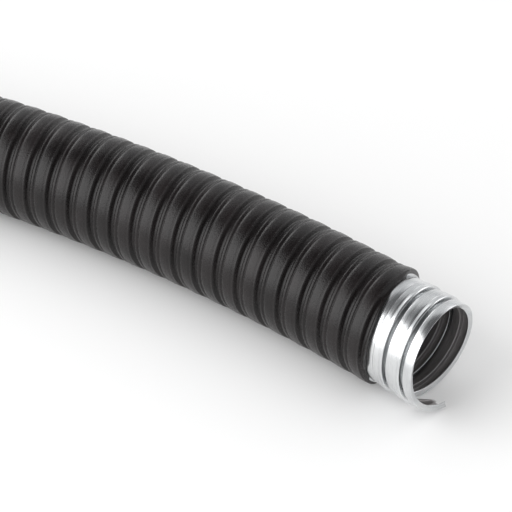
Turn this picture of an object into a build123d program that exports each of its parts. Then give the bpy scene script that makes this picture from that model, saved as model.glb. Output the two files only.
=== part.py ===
from build123d import *
import math
import os

os.makedirs("parts", exist_ok=True)

# All lengths in millimetres. The conduit lies on the plane Z = 0 along X, in a level bend whose
# centre is on the -Y side. Its stripped end is at +X and keeps more of the curl of its coil.

# the run
LENGTH = 1000.0  # along the centreline, steel end to steel end
STRIPPED = 16.0  # bare steel at the +X end
CURL_RADIUS = 540.0  # of the centreline over the curled stretch that ends in the stripped end
CURL_LENGTH = 200.0
REST_RADIUS = 1500.0  # of the centreline over the rest
PITCH = 7.0  # of the right-handed wave and of the strip
JACKET_CREST = 15.5  # radius
AXIS_HEIGHT = JACKET_CREST
HALF = LENGTH / 2.0
JACKET_END = HALF - STRIPPED
CURL_START = HALF - CURL_LENGTH

# the strip, a flat ribbon bent to a square S: distances along the axis and radii of its middle line
STRIP = 0.3  # thickness
BEND = 0.45  # set back of the facet that stands for the round of a bend in plain view
SHOWN_BENDS = (3, 4)  # the two corners of the crest, as places in STRIP_LINE
STEEL_CREST = 14.6
BORE = 12.5
STRIP_LINE = [
    (-2.85, 14.1),  # tip of the hook that points outward
    (-2.85, BORE + STRIP / 2),
    (0.15, BORE + STRIP / 2),  # foot of the step wall
    (0.15, STEEL_CREST - STRIP / 2),
    (5.05, STEEL_CREST - STRIP / 2),  # crest to the hook that points inward
    (5.05, 13.0),
]
HOOK_FACE = 5.2  # right side of the inward hook
HOOK_TURN = 80.0 / 360.0  # where that side runs into the cut at the open end, as a share of a turn
PHASE = HALF - HOOK_FACE - PITCH * HOOK_TURN

# the jacket's wave, from mid crest to mid crest: half widths from the groove's centre, and radii
GROOVE_AT = -0.9 + PITCH
GROOVE_SIDE = [(1.45, JACKET_CREST), (0.98, 15.2), (0.4, 14.15)]
LINING = 14.68  # inner radius under the crests
RIB_SIDE = [(1.3, LINING), (0.45, 13.6)]  # the rib in the steel's groove, clear of its corners

# the cut end: the part of the strip left standing past the plane of the cut, seen from above
# as distances past the cut and from the axis toward -Y
TAIL = [(-0.5, 13.3), (0.0, 13.2), (2.1, 12.6), (3.3, 11.2), (5.2, 10.8), (5.2, 3.1), (3.5, 2.1), (2.9, 3.4),
        (2.3, 3.0), (1.7, 4.6), (1.1, 4.2), (0.5, 6.3), (0.0, 6.6), (-0.5, 6.6)]

DEGREE = 9  # of the curve that stands for one turn, true to 0.001 mm
ROUND = 6


def heading(along):
    """How far the centreline has turned toward -Y since the far end, in radians."""
    if along <= CURL_START:
        return (along + HALF) / REST_RADIUS
    return (CURL_START + HALF) / REST_RADIUS + (along - CURL_START) / CURL_RADIUS


def arc_step(start, turn, radius):
    """The plan displacement along an arc that starts at one heading and turns by an angle."""
    return (
        radius * (math.sin(start + turn) - math.sin(start)),
        radius * (math.cos(start + turn) - math.cos(start)),
    )


def track(along, first=0.0):
    """Plan position on the centreline, from the far end, when the far end heads first."""
    rest = min(along, CURL_START) + HALF
    x, y = arc_step(first, rest / REST_RADIUS, REST_RADIUS)
    if along > CURL_START:
        at = first + rest / REST_RADIUS
        dx, dy = arc_step(at, (along - CURL_START) / CURL_RADIUS, CURL_RADIUS)
        x, y = x + dx, y + dy
    return x, y


def frame_offset():
    """The first heading that lays the chord along X, and the shift that centres the box in plan."""
    x, y = track(HALF)
    first = math.atan2(y, x)
    near, far = heading(HALF) + first, first
    x_end, y_end = track(HALF, first)
    low_x = -JACKET_CREST * abs(math.sin(far))
    high_x = x_end + STEEL_CREST * abs(math.sin(near))
    low_y = min(-JACKET_CREST * math.cos(far), y_end - STEEL_CREST * math.cos(near))
    summit = -first * REST_RADIUS - HALF  # where the centreline runs along X
    high_y = track(summit, first)[1] + JACKET_CREST
    return first, -(low_x + high_x) / 2.0, -(low_y + high_y) / 2.0


FIRST, OFFSET_X, OFFSET_Y = frame_offset()


def inverse(matrix):
    """The inverse of a small square matrix by elimination."""
    n = len(matrix)
    rows = [list(row) + [1.0 if i == j else 0.0 for j in range(n)] for i, row in enumerate(matrix)]
    for c in range(n):
        best = max(range(c, n), key=lambda i: abs(rows[i][c]))
        rows[c], rows[best] = rows[best], rows[c]
        lead = rows[c][c]
        rows[c] = [v / lead for v in rows[c]]
        for i in range(n):
            if i != c and rows[i][c] != 0.0:
                f = rows[i][c]
                rows[i] = [a - f * b for a, b in zip(rows[i], rows[c])]
    return [row[n:] for row in rows]


NODES = [0.5 - 0.5 * math.cos(math.pi * i / DEGREE) for i in range(DEGREE + 1)]
TO_POLES = inverse([
    [math.comb(DEGREE, j) * t**j * (1 - t) ** (DEGREE - j) for j in range(DEGREE + 1)] for t in NODES
])


def place(along, angle, radius):
    """A point at a distance along the bent centreline, an angle about it and a radius."""
    x, y = track(along, FIRST)
    way = heading(along) + FIRST
    side = radius * math.cos(angle)
    return (
        x + side * math.sin(way) + OFFSET_X,
        y + side * math.cos(way) + OFFSET_Y,
        AXIS_HEIGHT + radius * math.sin(angle),
    )


def on_turn(turn, along, radius):
    """A point that rides the helix: turn counts revolutions, along is measured from the helix."""
    return place(PHASE + PITCH * turn + along, 2.0 * math.pi * turn, radius)


def poles(start, end, along, radius):
    """Control points of the curve that one profile point draws between two turns."""
    samples = [on_turn(start + (end - start) * t, along, radius) for t in NODES]
    return [
        tuple(round(sum(w * p[k] for w, p in zip(row, samples)), ROUND) for k in range(3))
        for row in TO_POLES
    ]


def band(profile, start, end):
    """The face that a profile curve, given by its control points, sweeps between two turns."""
    lines = [poles(start, end, u, r) for u, r in profile]
    return Face.make_bezier_surface([list(column) for column in zip(*lines)])


def section(outline, turn):
    """The flat face that closes a sweep at a turn."""
    edges = []
    for part in outline:
        points = [tuple(round(v, ROUND) for v in on_turn(turn, u, r)) for u, r in part]
        edges.append(Edge.make_bezier(*points) if len(points) > 2 else Edge.make_line(*points))
    return Face(Wire(edges))


def strip_outline():
    """The closed S outline of the strip, as straight parts in (along, radius)."""
    line, h = STRIP_LINE, STRIP / 2.0
    ways = []
    for a, b in zip(line, line[1:]):
        size = math.hypot(b[0] - a[0], b[1] - a[1])
        ways.append(((b[0] - a[0]) / size, (b[1] - a[1]) / size))
    sides = []
    for side in (h, -h):
        points = []
        for i, p in enumerate(line):
            # the offset corner: the sum of the offsets of the two legs that meet there
            legs = [ways[j] for j in (i - 1, i) if 0 <= j < len(ways)]
            x = p[0] - sum(w[1] for w in legs) * side
            r = p[1] + sum(w[0] for w in legs) * side
            if side > 0 and i in SHOWN_BENDS:
                before, after = legs
                points.append((x - before[0] * BEND, r - before[1] * BEND))
                points.append((x + after[0] * BEND, r + after[1] * BEND))
            else:
                points.append((x, r))
        sides.append(points)
    ring = sides[0] + sides[1][::-1]
    return [list(pair) for pair in zip(ring, ring[1:] + ring[:1])]


def wave(sides, level):
    """One pitch of a wave, from mid crest to mid crest, with its sides mirrored about the groove."""
    c = GROOVE_AT
    points = [(c - w, r) for w, r in sides] + [(c + w, r) for w, r in reversed(sides)]
    points = [(c - PITCH / 2.0, level)] + points + [(c + PITCH / 2.0, level)]
    return [list(pair) for pair in zip(points, points[1:])]


def wave_tube(start, turns):
    """The jacket before its ends are trimmed: every turn meets the next along its crest."""
    outer = wave(GROOVE_SIDE, JACKET_CREST)
    inner = wave(RIB_SIDE, LINING)
    first, last = outer[0][0][0], outer[-1][-1][0]
    rim_a = [(first, JACKET_CREST), (first, LINING)]
    rim_b = [(last, JACKET_CREST), (last, LINING)]
    faces = []
    for k in range(start, start + turns):
        faces += [band(part, k, k + 1) for part in outer + inner]
    faces.append(band(rim_a, start, start + 1))
    faces.append(band(rim_b, start + turns - 1, start + turns))
    outline = outer + [rim_b] + [list(reversed(part)) for part in reversed(inner)] + [list(reversed(rim_a))]
    faces += [section(outline, start), section(outline, start + turns)]
    return Solid(Shell(faces))


def cut_plane(along):
    """The plane square to the centreline at a distance along it."""
    way = heading(along) + FIRST
    return Plane(origin=place(along, 0.0, 0.0), x_dir=(0, 0, 1), z_dir=(math.cos(way), -math.sin(way), 0))


def beyond(along, way):
    """A block that takes all that lies past a cut; way is +1 toward +X and -1 toward -X."""
    depth = 30.0
    return cut_plane(along).location * Pos(0, 0, way * depth / 2.0) * Box(60, 60, depth)


def steel_strip():
    """The strip with its plain cut at -X and its torn tail at +X."""
    outline = strip_outline()
    start = math.floor((-HALF - PHASE - HOOK_FACE) / PITCH)
    end = 1.5  # a half turn, where the section is flat
    whole = int(math.floor(end)) - start
    faces = []
    for k in range(start, start + whole):
        faces += [band(part, k, k + 1) for part in outline]
    faces += [band(part, start + whole, end) for part in outline]
    faces += [section(outline, start), section(outline, end)]
    strip = Solid(Shell(faces))
    strip = only_solid(strip - beyond(-HALF, -1))
    a = heading(HALF) + FIRST
    corners = []
    x0, y0, _ = place(HALF, 0.0, 0.0)
    for ahead, aside in TAIL:
        corners.append((x0 + ahead * math.cos(a) - aside * math.sin(a), y0 - ahead * math.sin(a) - aside * math.cos(a)))
    kept = extrude(Plane.XY.offset(-2.0) * make_face(Polyline(*corners, close=True)), amount=AXIS_HEIGHT - 2.0)
    return strip - (beyond(HALF, 1) - kept)


def jacket():
    """The jacket, cut square at both ends."""
    start = math.floor((-HALF - PHASE - GROOVE_AT - PITCH / 2.0) / PITCH) - 1
    turns = math.ceil((JACKET_END - PHASE - GROOVE_AT + PITCH / 2.0) / PITCH) + 1 - start
    tube = wave_tube(start, turns)
    return tube - beyond(-HALF, -1) - beyond(JACKET_END, 1)


def only_solid(shape):
    """The one solid that a part must be."""
    solids = sorted(shape.solids(), key=lambda s: s.volume)
    return solids[-1]


for name, shape in (("steel_strip", steel_strip()), ("jacket", jacket())):
    solid = only_solid(shape)
    box = solid.bounding_box()
    print(name, "solids", len(shape.solids()), "volume", round(solid.volume, 1), "valid", solid.is_valid)
    print(name, "x", round(box.min.X, 2), round(box.max.X, 2), "y", round(box.min.Y, 2), round(box.max.Y, 2),
          "z", round(box.min.Z, 2), round(box.max.Z, 2), "faces", len(solid.faces()))
    export_step(solid, f"parts/{name}.step")
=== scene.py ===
"""A length of black-jacketed flexible metal conduit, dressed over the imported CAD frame.

The steel strip and the jacket are wound as straight screws with bmesh operators, cut, and then laid along
the bent centreline that the frame's own solids follow. Lengths are in millimetres until MM makes them metres.
"""

from __future__ import annotations

import logging
import math
from collections.abc import Callable, Sequence
from dataclasses import dataclass
from enum import Enum

import bmesh
import bpy
from mathutils import Matrix, Vector, noise

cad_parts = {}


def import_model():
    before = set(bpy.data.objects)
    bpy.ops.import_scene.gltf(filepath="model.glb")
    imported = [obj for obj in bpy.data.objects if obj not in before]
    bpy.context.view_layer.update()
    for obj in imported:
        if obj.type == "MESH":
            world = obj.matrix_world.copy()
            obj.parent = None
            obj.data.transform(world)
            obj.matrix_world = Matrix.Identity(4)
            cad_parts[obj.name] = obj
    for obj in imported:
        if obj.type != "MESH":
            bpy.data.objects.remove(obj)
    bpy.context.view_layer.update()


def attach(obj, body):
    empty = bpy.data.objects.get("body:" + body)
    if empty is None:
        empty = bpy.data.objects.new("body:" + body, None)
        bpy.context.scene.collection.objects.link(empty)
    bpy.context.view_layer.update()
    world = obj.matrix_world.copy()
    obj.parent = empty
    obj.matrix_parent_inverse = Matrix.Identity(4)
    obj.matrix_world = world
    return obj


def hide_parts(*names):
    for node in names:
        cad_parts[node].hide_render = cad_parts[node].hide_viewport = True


LOG = logging.getLogger("conduit")
MM = 0.001
FULL_TURN = 2.0 * math.pi
WELD = 0.002 * MM  # closer than this, two vertices are one
CLOSE = 0.0001 * MM
LARGE_ROUND = 0.15  # millimetres; from here on a round has more than one segment
LARGE_SEGMENTS = 3
ALONG, ACROSS = "along", "across"  # where a vertex is on the wound outline, as mesh attributes in metres
# the steel material also paints shade on this side, with a darker colour
INWARD = "inward"  # 1 on the side of the strip that faces the bore
Colour = tuple | bpy.types.NodeSocket


class Side(Enum):
    """Which side of a cut stays."""

    BELOW = "toward the far end"
    ABOVE = "toward the stripped end"


class Slot(Enum):
    """The record's material slots."""

    STEEL = "galvanised_steel"
    JACKET = "black_jacket"


@dataclass(frozen=True)
class Corner:
    """A corner of a wound outline, in millimetres.

    It has its place along the axis, its radius, how far back its round starts, and whether it faces the bore.
    """

    along: float
    radius: float
    set_back: float = 0.0
    inward: bool = False


def smooth_step(value: float, low: float, high: float) -> float:
    """0 up to low, 1 from high on, and smooth between them."""
    share = min(max((value - low) / (high - low), 0.0), 1.0)
    return share * share * (3.0 - 2.0 * share)


def between(value: float, table: Sequence[tuple[float, float]]) -> float:
    """Reads a table of places and amounts in straight lines, and holds its ends."""
    if value <= table[0][0]:
        return table[0][1]
    for (low, before), (high, after) in zip(table, table[1:]):
        if value <= high:
            return before + (after - before) * (value - low) / (high - low)
    return table[-1][1]


@dataclass(frozen=True)
class Winding:
    """A right-handed screw: its pitch, and where turn 0 of its outline is drawn, on the outward side."""

    pitch: float = 7.0
    phase: float = 496.6

    def turn(self, along: float, place: float) -> float:
        """Which turn a point is on, with its fraction, from its distance along the axis and its place."""
        return (along - self.phase - place) / self.pitch


@dataclass(frozen=True)
class Centreline:
    """The level line that the conduit lies along, as two arcs that meet in line."""

    half_length: float = 500.0
    curl_radius: float = 540.0
    curl_length: float = 200.0
    rest_radius: float = 1500.0
    jacket_crest: float = 15.5
    steel_ridge: float = 14.6

    @property
    def curl_start(self) -> float:
        """The place along the line where it starts to bend harder."""
        return self.half_length - self.curl_length

    def heading(self, along: float) -> float:
        """The angle by which the line has turned since the far end."""
        if along <= self.curl_start:
            return (along + self.half_length) / self.rest_radius
        start = (self.curl_start + self.half_length) / self.rest_radius
        return start + (along - self.curl_start) / self.curl_radius

    @staticmethod
    def arc_step(start: float, turn: float, radius: float) -> Vector:
        """The plan displacement along an arc that starts at one heading and turns by an angle."""
        return Vector((
            radius * (math.sin(start + turn) - math.sin(start)),
            radius * (math.cos(start + turn) - math.cos(start)),
        ))

    def track(self, along: float, first: float = 0.0) -> Vector:
        """The plan place on the line, measured from the far end, when the far end heads first."""
        rest = min(along, self.curl_start) + self.half_length
        here = self.arc_step(first, rest / self.rest_radius, self.rest_radius)
        if along > self.curl_start:
            turned = first + rest / self.rest_radius
            here += self.arc_step(turned, (along - self.curl_start) / self.curl_radius, self.curl_radius)
        return here

    def offset(self) -> tuple[float, Vector]:
        """Sets the line in the frame.

        Returns:
            The first heading, which lays the chord along X, and the shift that centres the box in plan.
        """
        chord = self.track(self.half_length)
        first = math.atan2(chord.y, chord.x)
        last = self.heading(self.half_length) + first
        end = self.track(self.half_length, first)
        low_x = -self.jacket_crest * abs(math.sin(first))
        high_x = end.x + self.steel_ridge * abs(math.sin(last))
        low_y = min(-self.jacket_crest * math.cos(first), end.y - self.steel_ridge * math.cos(last))
        summit = -first * self.rest_radius - self.half_length
        high_y = self.track(summit, first).y + self.jacket_crest
        return first, Vector((-(low_x + high_x) / 2.0, -(low_y + high_y) / 2.0))

    def layer(self) -> Callable[[Vector], Vector]:
        """Makes the bend.

        Returns:
            A function that takes a point of the straight screw, in metres, to its place in the frame.
        """
        first, shift = self.offset()

        def lay(point: Vector) -> Vector:
            along = point.x / MM
            here = self.track(along, first) + shift
            way = self.heading(along) + first
            return Vector((
                here.x * MM + point.y * math.sin(way),
                here.y * MM + point.y * math.cos(way),
                self.jacket_crest * MM + point.z,
            ))

        return lay


class Screw:
    """A mesh of one outline, wound about the X axis."""

    def __init__(self, winding: Winding) -> None:
        """Starts with no geometry."""
        self.winding = winding
        self.mesh = bmesh.new()

    def outline(self, corners: Sequence[Corner], closed: bool) -> None:
        """Draws the outline in the plane of the axis, rounds its corners, and notes each vertex's place and side.

        Args:
            corners: the outline's corners, in order.
            closed: whether the last corner joins the first.
        """
        bm = self.mesh
        dots = [bm.verts.new((c.along * MM, c.radius * MM, 0.0)) for c in corners]
        for one, two in zip(dots, dots[1:] + dots[:1] if closed else dots[1:]):
            bm.edges.new((one, two))
        for back in sorted({c.set_back for c in corners} - {0.0}):
            rounded = [v for v, c in zip(dots, corners) if c.set_back == back]
            segments = LARGE_SEGMENTS if back >= LARGE_ROUND else 1
            bmesh.ops.bevel(
                bm, geom=rounded, offset=back * MM, segments=segments, profile=0.5, affect="VERTICES", material=-1
            )
        place, inward = bm.verts.layers.float.new(ACROSS), bm.verts.layers.float.new(INWARD)
        for vert in bm.verts:
            x, r = vert.co.x / MM, vert.co.y / MM
            nearest = min(corners, key=lambda c: math.hypot(c.along - x, c.radius - r) - c.set_back)
            vert[place] = vert.co.x
            vert[inward] = float(nearest.inward)

    def sweep(self, outline: Sequence[bmesh.types.BMVert | bmesh.types.BMEdge], turns: float, steps: int) -> None:
        """Spins an outline by up to one turn, with a whole number of steps to a full one."""
        count = round(turns * steps)
        bmesh.ops.spin(
            self.mesh,
            geom=outline,
            cent=(0.0, 0.0, 0.0),
            axis=(1.0, 0.0, 0.0),
            dvec=(turns * self.winding.pitch * MM / count, 0.0, 0.0),
            angle=FULL_TURN * turns,
            steps=count,
            use_merge=False,
            use_duplicate=False,
        )

    def wind(self, first: int, turns: float, steps: int) -> None:
        """Winds the outline by a number of turns and welds what meets.

        Args:
            first: the turn that the winding starts at.
            turns: how many turns it has, with the last one's fraction.
            steps: how many pieces a turn has.
        """
        bm, pitch = self.mesh, self.winding.pitch * MM
        whole = math.floor(turns)
        bmesh.ops.translate(bm, vec=(self.winding.phase * MM + first * pitch, 0.0, 0.0), verts=bm.verts[:])
        outline = bm.verts[:] + bm.edges[:]
        last = bmesh.ops.duplicate(bm, geom=outline)["geom"] if turns > whole else []
        self.sweep(outline, 1.0, steps)
        apart = set(last)
        turn = [part for part in [*bm.verts, *bm.edges, *bm.faces] if part not in apart]
        for ahead in range(1, whole):
            copy = bmesh.ops.duplicate(bm, geom=turn)["geom"]
            moved = [part for part in copy if isinstance(part, bmesh.types.BMVert)]
            bmesh.ops.translate(bm, vec=(ahead * pitch, 0.0, 0.0), verts=moved)
        if last:
            moved = [part for part in last if isinstance(part, bmesh.types.BMVert)]
            bmesh.ops.translate(bm, vec=(whole * pitch, 0.0, 0.0), verts=moved)
            self.sweep(last, turns - whole, steps)
        bmesh.ops.remove_doubles(bm, verts=bm.verts[:], dist=WELD)

    def end_turn(self, low: float) -> None:
        """Closes every open rim past a place along the axis with flat triangles."""
        bm = self.mesh
        rim = [e for e in bm.edges if e.is_boundary and all(v.co.x > low * MM for v in e.verts)]
        faces = bmesh.ops.holes_fill(bm, edges=rim, sides=0)["faces"]
        bmesh.ops.triangulate(bm, faces=faces)

    def cut(self, at: float, keep: Side, lean: tuple[float, float] = (0.0, 0.0)) -> list[bmesh.types.BMEdge]:
        """Cuts the skin across the axis.

        Args:
            at: the place of the cut along the axis.
            keep: the side that stays.
            lean: how far the cut runs back for each unit of y and of z, which is nothing for a square cut.

        Returns:
            The edges of the cut.
        """
        bm = self.mesh
        found = bmesh.ops.bisect_plane(
            bm,
            geom=bm.verts[:] + bm.edges[:] + bm.faces[:],
            dist=CLOSE,
            plane_co=(at * MM, 0.0, 0.0),
            plane_no=(1.0, *lean),
            clear_outer=keep is Side.BELOW,
            clear_inner=keep is Side.ABOVE,
        )
        return [part for part in found["geom_cut"] if isinstance(part, bmesh.types.BMEdge)]

    def absorb(self, other: "Screw") -> None:
        """Takes in another screw's mesh, and frees the other."""
        mesh = bpy.data.meshes.new("other")
        other.mesh.to_mesh(mesh)
        other.mesh.free()
        self.mesh.from_mesh(mesh)
        bpy.data.meshes.remove(mesh)


def mesh_object(name: str, bm: bmesh.types.BMesh) -> bpy.types.Object:
    """Makes a scene object of a bmesh, and frees the bmesh."""
    mesh = bpy.data.meshes.new(name)
    bm.to_mesh(mesh)
    bm.free()
    piece = bpy.data.objects.new(name, mesh)
    bpy.context.scene.collection.objects.link(piece)
    return piece


def shade(piece: bpy.types.Object, sharp: float) -> None:
    """Shades a piece smooth, with the edges that turn by more than an angle in degrees left sharp."""
    mesh = piece.data
    mesh.polygons.foreach_set("use_smooth", [True] * len(mesh.polygons))
    mesh.set_sharp_from_angle(angle=math.radians(sharp))
    mesh.update()


def lay_down(
    bm: bmesh.types.BMesh, run: Centreline, winding: Winding, change: Callable[[float, float, Vector], Vector]
) -> None:
    """Notes how far along the winding each vertex is, and bends the straight screw along the centreline.

    Args:
        bm: the straight screw.
        run: the centreline.
        winding: the screw's pitch and phase.
        change: gives each point its last place on the straight screw, from its turn, place and position.
    """
    lay = run.layer()
    place = bm.verts.layers.float[ACROSS]
    along = bm.verts.layers.float.new(ALONG)
    for vert in bm.verts:
        turn = winding.turn(vert.co.x / MM, vert[place] / MM)
        vert[along] = turn * FULL_TURN * run.steel_ridge * MM
        vert.co = lay(change(turn, vert[place] / MM, vert.co))


def polar(point: Vector) -> tuple[float, float, float]:
    """A point's distance along the axis, angle about it and radius, in millimetres and radians."""
    return point.x / MM, math.atan2(point.z, point.y), math.hypot(point.y, point.z) / MM


def on_screw(along: float, angle: float, radius: float) -> Vector:
    """The point at a distance along the axis, an angle about it and a radius."""
    return Vector((along * MM, radius * math.cos(angle) * MM, radius * math.sin(angle) * MM))


@dataclass
class SteelStrip:
    """The galvanised strip: a flat ribbon bent to a square S, whose hook wraps over the turn before it."""

    run: Centreline
    winding: Winding
    bore: float = 12.5
    crest: float = 14.2
    ridge: float = 14.6  # outer radius of the hook that wraps over the crest before it
    strip: float = 0.3  # thickness
    channel: float = 0.8
    wrap: float = 3.1  # width of that hook
    crest_width: float = 3.05
    tip_rise: float = 0.14  # of the hook's thin edge over the crest
    turned_in: float = 1.5  # depth of the crest's turned edge
    split: float = 460.0  # the near stretch, which the camera sees, is finer
    near_steps: int = 96
    far_steps: int = 28
    slant: float = 0.5  # how far the turned edge leans back
    leaf: float = 0.1  # thickness of the hook's thin edge
    step: tuple[float, float] = (1.5, 1.7)  # places of the fine step in the hook, from its edge
    step_rise: tuple[float, float] = (0.08, 0.03)  # levels above the edge on its two sides
    shoulder: float = 0.5  # width of the hook's sloping shoulder
    sharp: float = 32.0  # degrees; harder bends are shaded sharp
    torn_at: float = 0.737  # the turn at which the ribbon ends
    pushed: tuple[float, float] = (-0.46, -0.28)  # the turns over which the last turn is pushed back
    push: float = 1.3
    # how far the rim leans back: always, and with the cosine, the sine and the cosine of twice the angle
    rim_lean: tuple[float, float, float, float] = (0.05, -0.2, 0.35, -0.15)
    rim_width: float = 1.0  # of the stretch of the outline that leans with it
    sprung: float = 0.5  # the turn from which the torn end springs outward
    spring: float = 0.3
    tear: tuple[tuple[float, float], ...] = (
        (-3.9, 0.094), (-3.0, 0.07), (-2.3, 0.082), (-1.4, 0.05), (-1.0, 0.04), (-0.7, 0.016), (-0.3, 0.024),
        (0.0, 0.0), (0.7, 0.02), (1.3, 0.0), (1.8, 0.014), (2.3, 0.0), (2.7, 0.01), (3.05, 0.0),
    )  # place on the ribbon, and by how much of a turn it is torn off earlier
    tear_slant: float = 0.016  # the same for each millimetre that the channel lies below the crest

    def corners(self, fine: bool) -> list[Corner]:
        """The outline of the ribbon, from the tip of the wrapping hook over its outer side and back."""
        t, wall, low = self.strip, -self.channel, self.crest - self.turned_in
        tip, end, edge = wall - self.wrap, self.crest_width, self.crest + self.tip_rise
        before, after = (tip + along for along in self.step)
        if not fine:
            return [
                Corner(tip, edge), Corner(wall, self.ridge), Corner(wall, self.bore + t),
                Corner(0.0, self.bore + t), Corner(0.0, self.crest), Corner(end, self.crest),
                Corner(end, low), Corner(end - t, low),
                Corner(end - t, self.crest - t), Corner(t, self.crest - t), Corner(t, self.bore),
                Corner(wall - t, self.bore), Corner(wall - t, self.ridge - t), Corner(tip, edge - self.leaf),
            ]
        return [
            Corner(tip, edge, 0.05),
            Corner(before, edge + self.step_rise[0], 0.06),
            Corner(after, edge + self.step_rise[1], 0.06),
            Corner(wall - self.shoulder, self.ridge - 0.02, 0.16),
            Corner(wall, self.ridge - 0.08, 0.17),
            Corner(wall, self.bore + t, 0.15),
            Corner(0.0, self.bore + t, 0.15),
            Corner(0.0, self.crest - 0.03, 0.36),
            Corner(end, self.crest, 0.2),
            Corner(end - self.slant, low, 0.07),
            Corner(end - self.slant - t, low, 0.07),
            Corner(end - t, self.crest - t, 0.15, True),
            Corner(t, self.crest - t, 0.15, True),
            Corner(t, self.bore, 0.12, True),
            Corner(wall - t, self.bore, 0.12, True),
            Corner(wall - t, self.ridge - t, 0.15, True),
            Corner(after, edge - 0.12, 0.0, True),
            Corner(tip, edge - self.leaf, 0.03, True),
        ]

    def stretch(self, start: float, last: float, steps: int, fine: bool) -> Screw:
        """Winds the strip from a square cut up to a turn, and closes the cut.

        Args:
            start: the place of the cut along the axis.
            last: the turn that the winding ends at, with its fraction.
            steps: how many pieces a turn has.
            fine: whether the outline has its rounds and small forms.

        Returns:
            The straight screw.
        """
        w = self.winding
        first = math.floor((start - w.phase - self.crest_width) / w.pitch) - 1
        screw = Screw(w)
        screw.outline(self.corners(fine), True)
        screw.wind(first, last - first, steps)
        rims = screw.cut(start, Side.ABOVE)
        bmesh.ops.triangulate(screw.mesh, faces=bmesh.ops.holes_fill(screw.mesh, edges=rims, sides=0)["faces"])
        return screw

    def settle(self, turn: float, place: float, point: Vector) -> Vector:
        """Pushes the last turn back over the one before it, leans its rim and springs its torn end.

        Args:
            turn: the turn that the point is on.
            place: its place on the outline.
            point: its position on the straight screw.

        Returns:
            Its new position on the straight screw.
        """
        last = smooth_step(turn, *self.pushed)
        if last == 0.0:
            return point
        along, angle, radius = polar(point)
        depth = max(self.crest - radius, 0.0) / self.turned_in if place > self.crest_width - self.rim_width else 0.0
        waves = (1.0, math.cos(angle), math.sin(angle), math.cos(2.0 * angle))
        lean = sum(share * wave for share, wave in zip(self.rim_lean, waves))
        along -= (self.push + lean * depth) * last
        free = max((turn - self.sprung) / (self.torn_at - self.sprung), 0.0)
        deep = max(self.crest - radius, 0.0) if place < self.crest_width / 2.0 else 0.0
        early = (between(place, self.tear) + self.tear_slant * deep) * free
        outward = self.spring * free * free
        return on_screw(along - early * self.winding.pitch, angle - early * FULL_TURN, radius + outward)

    def build(self) -> bpy.types.Object:
        """Builds the strip and lays it along the centreline."""
        half = self.run.half_length
        whole = self.stretch(self.split, self.torn_at, self.near_steps, True)
        whole.end_turn(self.split + 1.0)
        past_split = math.ceil((self.split - self.winding.phase) / self.winding.pitch) + 2
        rest = self.stretch(-half, past_split, self.far_steps, False)
        rims = rest.cut(self.split, Side.BELOW)
        bmesh.ops.holes_fill(rest.mesh, edges=rims, sides=0)
        whole.absorb(rest)
        bmesh.ops.recalc_face_normals(whole.mesh, faces=whole.mesh.faces[:])
        lay_down(whole.mesh, self.run, self.winding, self.settle)
        piece = mesh_object("steel_strip_wound", whole.mesh)
        shade(piece, self.sharp)
        return piece


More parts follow.
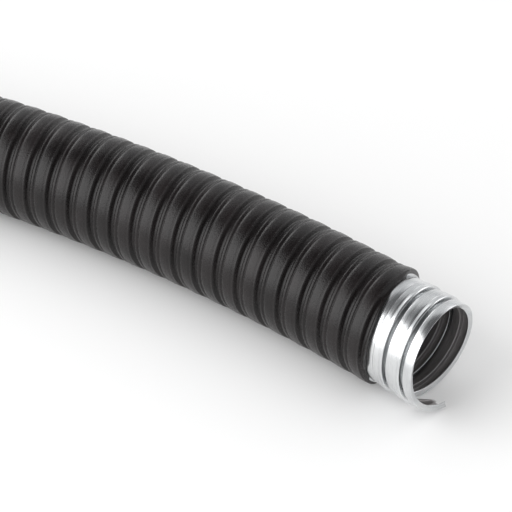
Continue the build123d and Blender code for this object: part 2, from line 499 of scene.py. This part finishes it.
@dataclass
class Jacket:
    """The black soft PVC tube, with a wave that follows the strip."""

    run: Centreline
    winding: Winding
    crest: float = 15.5
    top: float = 15.482  # height above the axis that the solid's own faces reach
    lining: float = 14.68
    groove_at: float = 0.1  # the groove's centre on the outline
    end: float = 483.9  # on the axis
    split: float = 332.0
    near_steps: int = 52
    far_steps: int = 24
    lift: float = 0.4  # how far the cut edge stands off the steel at two places
    lifted_at: tuple[float, float] = (52.0, 184.0)  # in degrees about the axis
    lifted_over: float = 0.42  # radians about the axis to each side
    frayed: float = 3.0  # how far back from its cut edge the jacket is uneven
    wander: float = 0.3  # of the cut edge along the axis
    wander_scale: float = 1.4
    wander_seed: float = 3.0
    sharp: float = 46.0  # degrees; harder bends are shaded sharp
    groove: tuple[tuple[float, float], ...] = ((1.45, 0.0), (0.98, -0.3), (0.4, -1.2))
    relief: tuple[tuple[float, float, float], ...] = (
        (-2.3, -0.03, 0.16), (-1.5, -0.16, 0.12), (-1.12, -0.1, 0.06), (-0.88, -0.5, 0.14), (-0.42, -1.2, 0.16),
        (0.4, -1.2, 0.16), (0.78, -0.42, 0.16), (1.1, -0.13, 0.16), (1.72, -0.13, 0.16), (2.06, -0.38, 0.08),
        (2.4, -0.1, 0.14), (2.9, -0.02, 0.12),
    )  # offset from the groove's centre, level below the crest and set back of the outline's corners
    rib: tuple[tuple[float, float], ...] = ((0.85, 0.0), (0.25, -0.95))
    end_lean: tuple[float, float] = (0.219, -0.039)  # how far the knife's cut runs back for each unit of y and z

    def outer(self, fine: bool) -> list[Corner]:
        """The outside of one pitch, from mid crest to mid crest."""
        c, half = self.groove_at, self.winding.pitch / 2.0
        if fine:
            inside = [Corner(c + at, self.crest + level, back) for at, level, back in self.relief]
        else:
            inside = [Corner(c - w, self.crest + d) for w, d in self.groove]
            inside += [Corner(c + w, self.crest + d) for w, d in reversed(self.groove)]
        return [Corner(c - half, self.crest), *inside, Corner(c + half, self.crest)]

    def inner(self) -> list[Corner]:
        """The inside of one pitch, with the rib that sits in the strip's groove."""
        c, half = self.groove_at, self.winding.pitch / 2.0
        left = [Corner(c - w, self.lining + d) for w, d in self.rib]
        right = [Corner(c + w, self.lining + d) for w, d in reversed(self.rib)]
        return [Corner(c - half, self.lining), *left, *right, Corner(c + half, self.lining)]

    def skin(
        self, corners: Sequence[Corner], start: float, end: float, steps: int, lean: tuple[float, float]
    ) -> Screw:
        """Winds one skin between a square cut and one that may lean.

        Args:
            corners: one pitch of its outline.
            start: the place of the square cut along the axis.
            end: the place of the other cut, on the axis.
            steps: how many pieces a turn has.
            lean: how far the other cut runs back for each unit of y and of z.

        Returns:
            The straight screw, open at both cuts.
        """
        w = self.winding
        first = math.floor((start - w.phase - w.pitch) / w.pitch) - 1
        screw = Screw(w)
        screw.outline(corners, False)
        screw.wind(first, math.ceil((end - w.phase) / w.pitch) + 2 - first, steps)
        screw.cut(start, Side.ABOVE)
        screw.cut(end, Side.BELOW, lean)
        return screw

    def stretch(
        self, start: float, end: float, steps: int, fine: bool, lean: tuple[float, float] = (0.0, 0.0)
    ) -> Screw:
        """Winds both skins of a stretch and closes the rims between them.

        Args:
            start: the place of its square cut along the axis.
            end: the place of its other cut, on the axis.
            steps: how many pieces a turn has.
            fine: whether the outside has its rounds and small forms.
            lean: how far the other cut runs back for each unit of y and of z.

        Returns:
            The straight screw.
        """
        both = self.skin(self.outer(fine), start, end, steps, lean)
        both.absorb(self.skin(self.inner(), start, end, steps, lean))
        bm = both.mesh
        middle = (start + end) / 2.0 * MM
        for is_end in (False, True):
            rim = [e for e in bm.edges if e.is_boundary and (e.verts[0].co.x > middle) == is_end]
            bmesh.ops.bridge_loops(bm, edges=rim)
        bmesh.ops.recalc_face_normals(bm, faces=bm.faces[:])
        return both

    def rough_cut(self, _turn: float, _place: float, point: Vector) -> Vector:
        """Makes the knife's cut at the stripped end uneven, and lifts it off the steel at two places.

        Args:
            _turn: the turn that the point is on, which doesn't matter.
            _place: its place on the outline, which doesn't matter.
            point: its position on the straight screw.

        Returns:
            Its new position on the straight screw.
        """
        point = Vector((point.x, point.y, min(point.z, self.top * MM)))
        cut = self.end - (self.end_lean[0] * point.y + self.end_lean[1] * point.z) / MM
        along, angle, radius = polar(point)
        share = smooth_step(along, cut - self.frayed, cut)
        if share == 0.0:
            return point
        lifted = sum(
            math.exp(-((math.remainder(angle - math.radians(at), FULL_TURN) / self.lifted_over) ** 2))
            for at in self.lifted_at
        )
        around = Vector((math.cos(angle) * self.wander_scale, math.sin(angle) * self.wander_scale, self.wander_seed))
        wander = self.wander * noise.noise(around)
        moved = on_screw(along + wander * share, angle, radius + self.lift * lifted * share)
        moved.z = max(min(moved.z, self.top * MM), -self.crest * MM)
        return moved

    def build(self) -> bpy.types.Object:
        """Builds the jacket and lays it along the centreline."""
        whole = self.stretch(-self.run.half_length, self.split, self.far_steps, False)
        whole.absorb(self.stretch(self.split, self.end, self.near_steps, True, self.end_lean))
        lay_down(whole.mesh, self.run, self.winding, self.rough_cut)
        piece = mesh_object("jacket_tube", whole.mesh)
        shade(piece, self.sharp)
        return piece


class Value:
    """A number that changes over a surface, written with Python's own signs."""

    def __init__(self, tree: "NodeTree", socket: bpy.types.NodeSocket) -> None:
        """Wraps an output socket."""
        self.tree = tree
        self.socket = socket

    def _with(self, operation: str, *others: "Value | float") -> "Value":
        """Joins this number with others through a Math node."""
        return self.tree.math(operation, self, *others)

    def __add__(self, other: "Value | float") -> "Value":
        """This plus the other."""
        return self._with("ADD", other)

    __radd__ = __add__

    def __mul__(self, other: "Value | float") -> "Value":
        """This times the other."""
        return self._with("MULTIPLY", other)

    __rmul__ = __mul__

    def ramp(self, low: float, high: float) -> "Value":
        """0 at low, 1 at high, and smooth between them."""
        out = self.tree.node(
            "ShaderNodeMapRange",
            {"interpolation_type": "SMOOTHSTEP"},
            {"Value": self, "From Min": low, "From Max": high},
        )
        return Value(self.tree, out.outputs["Result"])


class NodeTree:
    """Makes nodes in a material's or a world's tree."""

    def __init__(self, owner: bpy.types.Material | bpy.types.World) -> None:
        """Empties the owner's tree."""
        owner.use_nodes = True
        self.tree = owner.node_tree
        self.tree.nodes.clear()

    def node(self, kind: str, settings: dict | None = None, inputs: dict | None = None) -> bpy.types.Node:
        """Makes one node.

        Args:
            kind: the node's type.
            settings: the node's own settings, which are set first.
            inputs: values or links for its sockets, by name or number.

        Returns:
            The node.
        """
        made = self.tree.nodes.new(kind)
        for name, setting in (settings or {}).items():
            setattr(made, name, setting)
        for name, given in (inputs or {}).items():
            if isinstance(given, Value):
                given = given.socket
            if isinstance(given, bpy.types.NodeSocket):
                self.tree.links.new(given, made.inputs[name])
            else:
                made.inputs[name].default_value = given
        return made

    def math(self, operation: str, *values: "Value | float") -> Value:
        """Makes one Math node."""
        made = self.node("ShaderNodeMath", {"operation": operation}, dict(enumerate(values)))
        return Value(self, made.outputs[0])

    def attribute(self, name: str) -> Value:
        """Reads a number that the mesh holds."""
        made = self.node("ShaderNodeAttribute", {"attribute_name": name})
        return Value(self, made.outputs["Fac"])

    def vector(self, x: "Value | float", y: "Value | float", z: "Value | float") -> bpy.types.NodeSocket:
        """Makes a vector of three numbers."""
        return self.node("ShaderNodeCombineXYZ", None, {"X": x, "Y": y, "Z": z}).outputs[0]

    def noise(self, where: bpy.types.NodeSocket, scale: float, detail: float = 2.0, rough: float = 0.5) -> Value:
        """Soft noise from 0 to 1."""
        made = self.node(
            "ShaderNodeTexNoise", None, {"Vector": where, "Scale": scale, "Detail": detail, "Roughness": rough}
        )
        return Value(self, made.outputs["Fac"])

    def mix(self, share: "Value | float | bpy.types.NodeSocket", one: "Colour", two: "Colour") -> bpy.types.NodeSocket:
        """Mixes two colours."""
        made = self.node("ShaderNodeMix", {"data_type": "RGBA"}, {0: share, 6: one, 7: two})
        return made.outputs[2]

    def bump(self, height: Value, strength: float, depth: float) -> bpy.types.NodeSocket:
        """Makes a normal of a height; depth is in metres."""
        made = self.node("ShaderNodeBump", None, {"Height": height, "Strength": strength, "Distance": depth})
        return made.outputs["Normal"]

    def object_place(self) -> bpy.types.NodeSocket:
        """The place on the object, in metres."""
        return self.node("ShaderNodeTexCoord").outputs["Object"]

    def surface(self, inputs: dict) -> None:
        """Ends the tree in one Principled shader."""
        shader = self.node("ShaderNodeBsdfPrincipled", None, inputs)
        self.node("ShaderNodeOutputMaterial", None, {"Surface": shader.outputs[0]})


@dataclass(frozen=True)
class GalvanisedSteel:
    """Bright zinc-coated strip with rolling lines along its length, painted darker on its bore-facing side as painted
    shade.
    """

    light: tuple = (0.71, 0.72, 0.725, 1.0)
    dull: tuple = (0.53, 0.54, 0.55, 1.0)
    # painted shade: the darker colour given to the strip's bore-facing side, where the inside of the tube lies in shade
    inside: tuple = (0.36, 0.345, 0.345, 1.0)
    inside_rougher: float = 0.3
    smooth: float = 0.17
    rough: float = 0.36
    fine_lines: tuple[float, float] = (55.0, 9000.0)  # noise cells in a metre along and across the strip
    broad_lines: tuple[float, float] = (30.0, 1500.0)
    fine_share: float = 0.6  # of the fine lines in all lines
    clouds: float = 160.0  # noise cells in a metre
    cloud_share: float = 0.5  # of the clouds in the wear
    worn_where: tuple[float, float] = (0.42, 0.68)  # levels of the noise between which the wear grows
    rough_where: tuple[float, float] = (0.3, 0.72)
    bump: float = 0.32
    bump_depth: float = 0.00006  # metres

    def material(self) -> bpy.types.Material:
        """Makes the material."""
        made = bpy.data.materials.new("galvanised_steel_strip")
        tree = NodeTree(made)
        along, across, inward = tree.attribute(ALONG), tree.attribute(ACROSS), tree.attribute(INWARD)
        fine_place = tree.vector(along * self.fine_lines[0], across * self.fine_lines[1], 0.0)
        broad_place = tree.vector(along * self.broad_lines[0], across * self.broad_lines[1], 4.0)
        fine = tree.noise(fine_place, 1.0, 3.0, 0.6)
        broad = tree.noise(broad_place, 1.0, 2.0)
        cloud = tree.noise(tree.object_place(), self.clouds, 3.0)
        lines = fine * self.fine_share + broad * (1.0 - self.fine_share)
        wear = (cloud * self.cloud_share + lines * (1.0 - self.cloud_share)).ramp(*self.worn_where)
        finish = lines.ramp(*self.rough_where) * (self.rough - self.smooth) + self.smooth
        tree.surface({
            # the bore-facing side takes the darker inside colour, which is painted shade
            "Base Color": tree.mix(inward, tree.mix(wear, self.light, self.dull), self.inside),
            "Metallic": 1.0,
            "Roughness": finish + inward * self.inside_rougher,
            "Normal": tree.bump(lines, self.bump, self.bump_depth),
        })
        return made


@dataclass(frozen=True)
class SoftVinyl:
    """Semi-gloss black PVC with a fine grain."""

    black: tuple = (0.0058, 0.0043, 0.0043, 1.0)
    worn: tuple = (0.0125, 0.0096, 0.0098, 1.0)
    smooth: float = 0.19
    rough: float = 0.34
    shine: float = 0.33
    grain: float = 3400.0  # noise cells in a metre
    clouds: float = 110.0
    cloud_share: float = 0.4  # of the clouds in the roughness
    worn_where: tuple[float, float] = (0.35, 0.7)  # levels of the noise between which the wear grows
    rough_where: tuple[float, float] = (0.3, 0.7)
    bump: float = 0.8
    bump_depth: float = 0.00009  # metres

    def material(self) -> bpy.types.Material:
        """Makes the material."""
        made = bpy.data.materials.new("black_vinyl_jacket")
        tree = NodeTree(made)
        place = tree.object_place()
        grain = tree.noise(place, self.grain, 2.0, 0.6)
        cloud = tree.noise(place, self.clouds, 3.0)
        finish = (cloud * self.cloud_share + grain * (1.0 - self.cloud_share)).ramp(*self.rough_where)
        tree.surface({
            "Base Color": tree.mix(cloud.ramp(*self.worn_where), self.black, self.worn),
            "Roughness": finish * (self.rough - self.smooth) + self.smooth,
            "Specular IOR Level": self.shine,
            "Normal": tree.bump(grain, self.bump, self.bump_depth),
        })
        return made


@dataclass
class Studio:
    """The pale floor, the lamps, the world and the camera."""

    run: Centreline
    floor_colour: tuple = (0.93, 0.93, 0.93, 1.0)
    camera_azimuth: float = -11.73
    camera_elevation: float = 39.5
    camera_distance: float = 621.0
    camera_focal: float = 2437.6  # in pixels of the photograph's frame
    frame_side: float = 512.0
    aim_at: tuple[float, float] = (392.8, 327.5)  # in pixels
    aim_along: float = 484.0  # the place on the centreline that is seen there
    sensor: float = 36.0
    floor_size: float = 8.0  # metres, half its side
    softbox_way: tuple[float, float, float] = (-0.8125, -0.3575, 0.4605)
    softbox_across: tuple[float, float, float] = (-0.2684, -0.4547, -0.8492)
    softbox_size: tuple[float, float] = (1.2, 1.4)
    softbox_far: float = 1.25
    softbox_glow: float = 2.3  # radiance, where 1 is white
    panels: tuple[tuple[float, float, float], ...] = ((-0.62, 0.7, 0.354), (0.5, 0.757, 0.42))  # behind, left and right
    panel_edge: tuple[float, float] = (0.93, 0.96)  # cosines of the angle from a panel's middle
    panel_glow: tuple = (2.6, 2.6, 2.6, 1.0)
    room_in_gloss: tuple = (0.73, 0.74, 0.75, 1.0)
    ceiling_in_gloss: tuple = (0.09, 0.09, 0.095, 1.0)
    ceiling_edge: tuple[float, float] = (0.74, 0.84)  # sines of the height where the ceiling begins and is full
    room: tuple = (0.86, 0.86, 0.86, 1.0)
    backdrop: tuple = (1.0, 1.0, 1.0, 1.0)  # what the camera sees past the floor

    def target(self) -> Vector:
        """The place on the centreline that the camera and the softbox are set by."""
        return self.run.layer()(Vector((self.aim_along * MM, 0.0, 0.0)))

    def floor(self) -> None:
        """Lays the floor."""
        bm = bmesh.new()
        bmesh.ops.create_grid(bm, x_segments=1, y_segments=1, size=self.floor_size)
        plane = mesh_object("floor", bm)
        material = bpy.data.materials.new("pale_floor")
        NodeTree(material).surface({"Base Color": self.floor_colour, "Roughness": 0.9, "Specular IOR Level": 0.1})
        plane.data.materials.append(material)

    def softbox(self) -> None:
        """Hangs the softbox so that its mirror image on the bare steel is the band in the photograph."""
        wide, long = self.softbox_size
        lamp = bpy.data.lights.new("softbox", "AREA")
        lamp.shape, lamp.size, lamp.size_y = "RECTANGLE", wide, long
        lamp.energy = self.softbox_glow * math.pi * wide * long
        holder = bpy.data.objects.new("softbox", lamp)
        way = Vector(self.softbox_way).normalized()
        across = Vector(self.softbox_across)
        across = (across - way * across.dot(way)).normalized()
        up = way.cross(across)
        turn = Matrix((across, up, way)).transposed().to_4x4()
        holder.matrix_world = Matrix.Translation(self.target() + way * self.softbox_far) @ turn
        bpy.context.scene.collection.objects.link(holder)

    def world(self) -> None:
        """Makes the room: pale all round, and for gloss alone dark overhead, with two bright panels behind."""
        room = bpy.data.worlds.new("room")
        bpy.context.scene.world = room
        tree = NodeTree(room)
        way = tree.node("ShaderNodeTexCoord").outputs["Generated"]
        x, y, height = (Value(tree, out) for out in tree.node("ShaderNodeSeparateXYZ", None, {0: way}).outputs)
        path = tree.node("ShaderNodeLightPath")
        gloss = tree.mix(height.ramp(*self.ceiling_edge), self.room_in_gloss, self.ceiling_in_gloss)
        for panel in self.panels:
            facing = x * panel[0] + y * panel[1] + height * panel[2]
            gloss = tree.mix(facing.ramp(*self.panel_edge), gloss, self.panel_glow)
        plain = tree.mix(path.outputs["Is Glossy Ray"], self.room, gloss)
        seen = tree.mix(path.outputs["Is Camera Ray"], plain, self.backdrop)
        back = tree.node("ShaderNodeBackground", None, {"Color": seen, "Strength": 1.0})
        tree.node("ShaderNodeOutputWorld", None, {"Surface": back.outputs[0]})

    def camera(self) -> None:
        """Sets the camera at the photograph's angle."""
        azimuth, elevation = math.radians(self.camera_azimuth), math.radians(self.camera_elevation)
        ahead = Vector((
            math.sin(azimuth) * math.cos(elevation),
            math.cos(azimuth) * math.cos(elevation),
            -math.sin(elevation),
        ))
        right = ahead.cross(Vector((0.0, 0.0, 1.0))).normalized()
        up = right.cross(ahead)
        centre = self.frame_side / 2.0
        sideways = (self.aim_at[0] - centre) / self.camera_focal
        upward = -(self.aim_at[1] - centre) / self.camera_focal
        stand = self.target() - (ahead + right * sideways + up * upward) * self.camera_distance * MM
        data = bpy.data.cameras.new("camera")
        data.lens = self.camera_focal * self.sensor / self.frame_side
        data.sensor_width = self.sensor
        data.clip_start, data.clip_end = 0.01, 50.0
        eye = bpy.data.objects.new("camera", data)
        turn = Matrix((right, up, -ahead)).transposed().to_4x4()
        eye.matrix_world = Matrix.Translation(stand) @ turn
        bpy.context.scene.collection.objects.link(eye)
        bpy.context.scene.camera = eye

    def build(self) -> None:
        """Sets up the studio."""
        bpy.context.scene.view_settings.view_transform = "Standard"
        self.floor()
        self.softbox()
        self.world()
        self.camera()


def main() -> None:
    """Builds the conduit and its studio around the frame."""
    logging.basicConfig(level=logging.INFO, format="%(message)s")
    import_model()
    run, winding = Centreline(), Winding()
    dressed = (
        (SteelStrip(run, winding).build(), "steel_strip", Slot.STEEL, GalvanisedSteel().material()),
        (Jacket(run, winding).build(), "jacket", Slot.JACKET, SoftVinyl().material()),
    )
    for piece, node, slot, material in dressed:
        piece.data.materials.clear()
        piece.data.materials.append(material)
        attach(piece, "root")
        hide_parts(node)
        piece.data.calc_loop_triangles()
        LOG.info("%s has %d triangles", piece.name, len(piece.data.loop_triangles))
    Studio(run).build()


if __name__ == "__main__":
    main()
